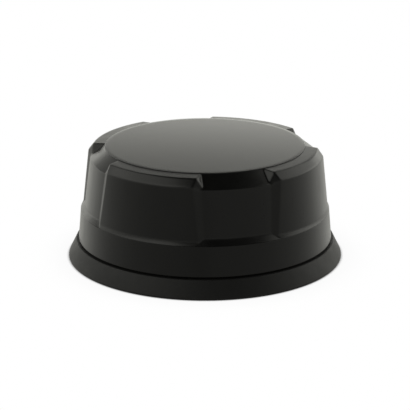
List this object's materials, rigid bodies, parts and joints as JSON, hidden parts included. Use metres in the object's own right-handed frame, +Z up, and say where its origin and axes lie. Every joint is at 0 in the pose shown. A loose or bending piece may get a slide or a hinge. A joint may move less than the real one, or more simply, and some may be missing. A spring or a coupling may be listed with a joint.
{
  "type": "gnss receiver",
  "caption": "Low round satellite positioning receiver with a notched radome and a flared rubber skirt, which stands on its foot or screws onto a survey pole.",
  "frame": {"origin": "centre of the foot ring, in the plane the skirt stands on", "axes": "+Z up through the top disc; the four recesses of the radome are centred on +X, +Y, -X and -Y; the port door is on the -Y side of the underside and the power button on the +Y side"},
  "size_m": [0.112, 0.112, 0.0464],
  "materials": {
    "radome_plastic": "satin moulded",
    "disc_plastic": "fine satin",
    "skirt_rubber": "matte",
    "seal_rubber": "matte silicone",
    "base_plastic": "fine spark texture",
    "socket_brass": "turned",
    "brass": "turned",
    "steel": "bright",
    "tinned_steel": "tinned",
    "button_plastic": "satin",
    "light_plastic": "natural",
    "chip_plastic": "moulded epoxy",
    "lens": "smoked",
    "led": "clear resin",
    "circuit_board": "solder resist",
    "antenna_board": "gold plated copper",
    "antenna_film": "amber film",
    "battery_wrap": "heat shrink",
    "foam": "closed cell",
    "wire_insulation": "extruded",
    "cable_jacket": "extruded",
    "ceramic": "fired, silvered"
  },
  "bodies": {
    "housing": {"radome": "radome_plastic", "top_disc": "disc_plastic", "lower_housing": "radome_plastic", "skirt": "skirt_rubber", "radome_seal": "seal_rubber", "radome_inserts": "brass", "base_plate": "base_plastic", "base_gasket": "seal_rubber", "housing_screws": "steel", "pole_socket": "socket_brass", "socket_seal": "seal_rubber", "socket_screws": "steel", "power_switch": "chip_plastic", "door_pin": "steel", "usb_receptacle": "tinned_steel", "status_lens": "lens", "status_leds": "led", "pressure_vent": "base_plastic", "vent_membrane": "light_plastic", "main_board": "circuit_board", "receiver_module": "tinned_steel", "radio_module": "tinned_steel", "board_chips": "chip_plastic", "board_connectors": "light_plastic", "radio_antenna": "antenna_film", "board_standoffs": "brass", "battery_tray": "base_plastic", "battery_pack": "battery_wrap", "battery_pads": "foam", "battery_lead": "wire_insulation", "antenna_standoffs": "brass", "ground_plane": "antenna_board", "lower_element": "ceramic", "upper_element": "ceramic", "feed_pins": "brass", "lna_shield": "tinned_steel", "antenna_screws": "steel", "antenna_coax": "cable_jacket", "coax_plugs": "brass"},
    "button": {"power_button": "button_plastic", "button_seal": "seal_rubber", "switch_plunger": "light_plastic"},
    "door": {"port_door": "base_plastic", "door_seal": "seal_rubber"}
  },
  "joints": [
    {"name": "button_press", "type": "slide", "parent": "housing", "child": "button", "axis": [0, 0, 1], "range_m": [0, 0.0008], "stiffness_N_per_m": 2500},
    {"name": "door_hinge", "type": "hinge", "parent": "housing", "child": "door", "pos_m": [0, -0.0255, 0.00395], "axis": [1, 0, 0], "range_deg": [0, 100], "stiffness_Nm_per_rad": 0.003}
  ]
}
